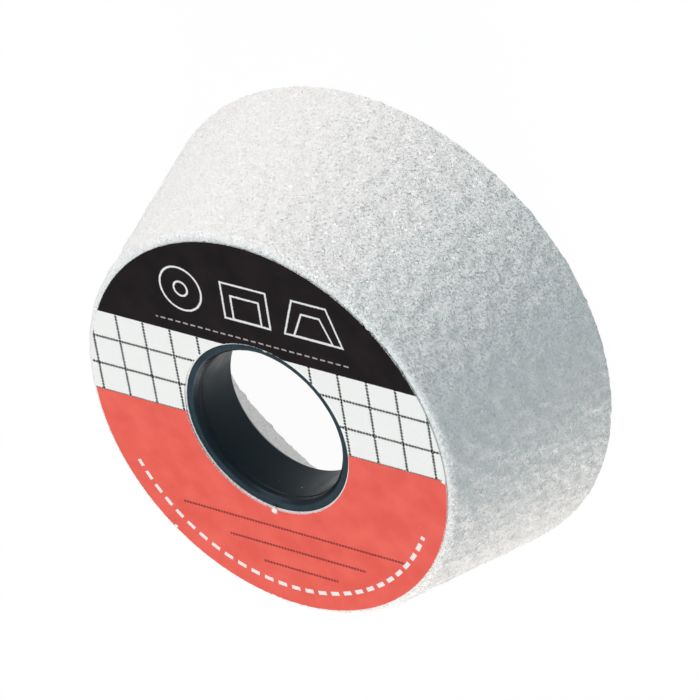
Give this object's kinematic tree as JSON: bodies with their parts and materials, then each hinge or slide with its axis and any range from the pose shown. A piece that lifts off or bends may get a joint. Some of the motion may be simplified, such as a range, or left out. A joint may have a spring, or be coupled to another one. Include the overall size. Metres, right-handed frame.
{
  "type": "flaring cup grinding wheel",
  "caption": "Cup-shaped abrasive wheel whose wall flares from a flat labelled back to a wide open rim, with a plastic bush in its bore.",
  "frame": {"origin": "centre of the rim face that the wheel stands on", "axes": "+Z along the bore from the rim to the labelled back face, +X along the pale band printed across the label, +Y towards the label's dark field"},
  "size_m": [0.1014, 0.1014, 0.0384],
  "materials": {
    "bonded_grain": "matt, open grain",
    "black_plastic": "smooth, slightly satin",
    "printed_paper": "matt printed paper"
  },
  "bodies": {
    "root": {"abrasive_cup": "bonded_grain", "bore_bush": "black_plastic", "paper_label": "printed_paper"}
  },
  "joints": []
}
